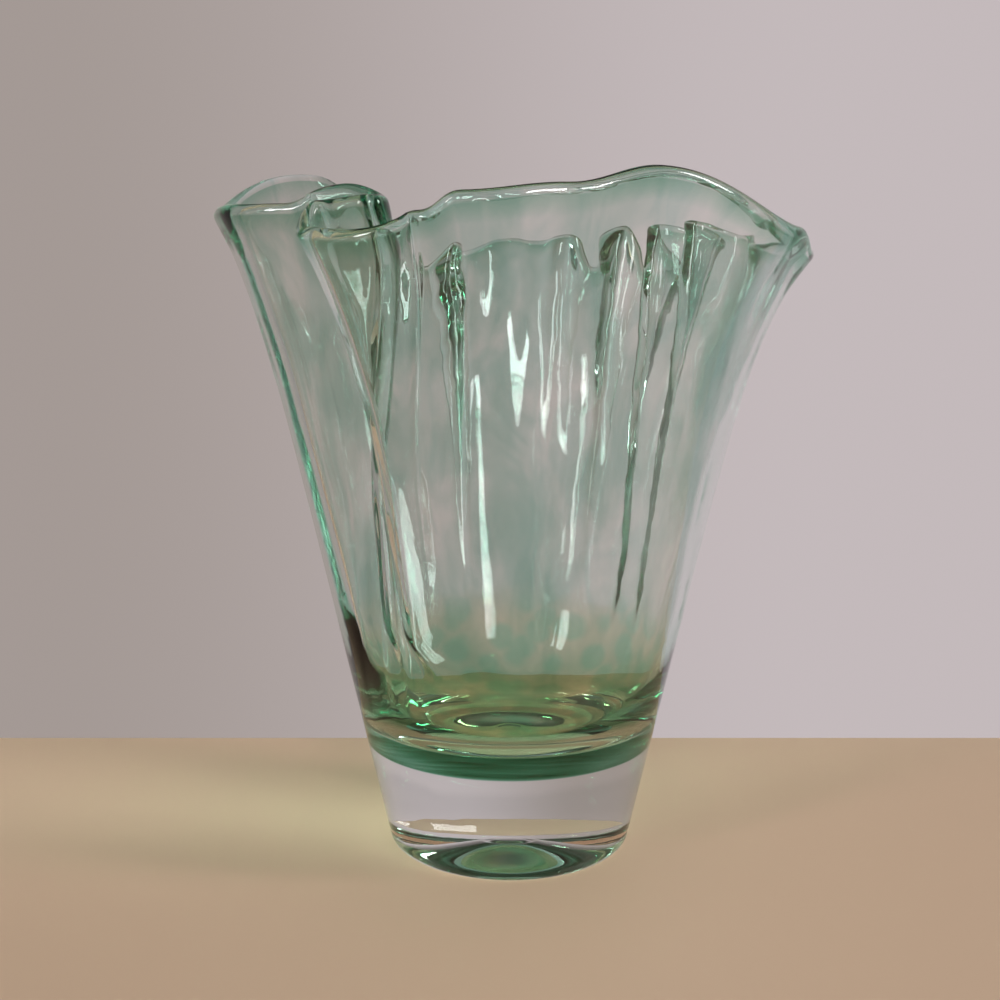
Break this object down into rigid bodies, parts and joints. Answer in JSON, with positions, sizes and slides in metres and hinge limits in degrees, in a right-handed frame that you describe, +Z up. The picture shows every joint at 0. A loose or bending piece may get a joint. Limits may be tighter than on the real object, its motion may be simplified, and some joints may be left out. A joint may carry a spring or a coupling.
{
  "type": "vase",
  "caption": "Flared glass vase with a thick clear foot and a gathered, ruffled rim that doubles back on itself at the front.",
  "frame": {"origin": "on the table, at the middle of the vase's overall width and depth", "axes": "+Z up, -Y towards the side with the doubled fold at its left, +X to the right of someone facing that side"},
  "size_m": [0.2084, 0.2092, 0.2558],
  "materials": {
    "glass": "clear sea-green glass, fire-polished, deeper green at the bottom"
  },
  "bodies": {
    "root": {"vase": "glass"}
  },
  "joints": []
}
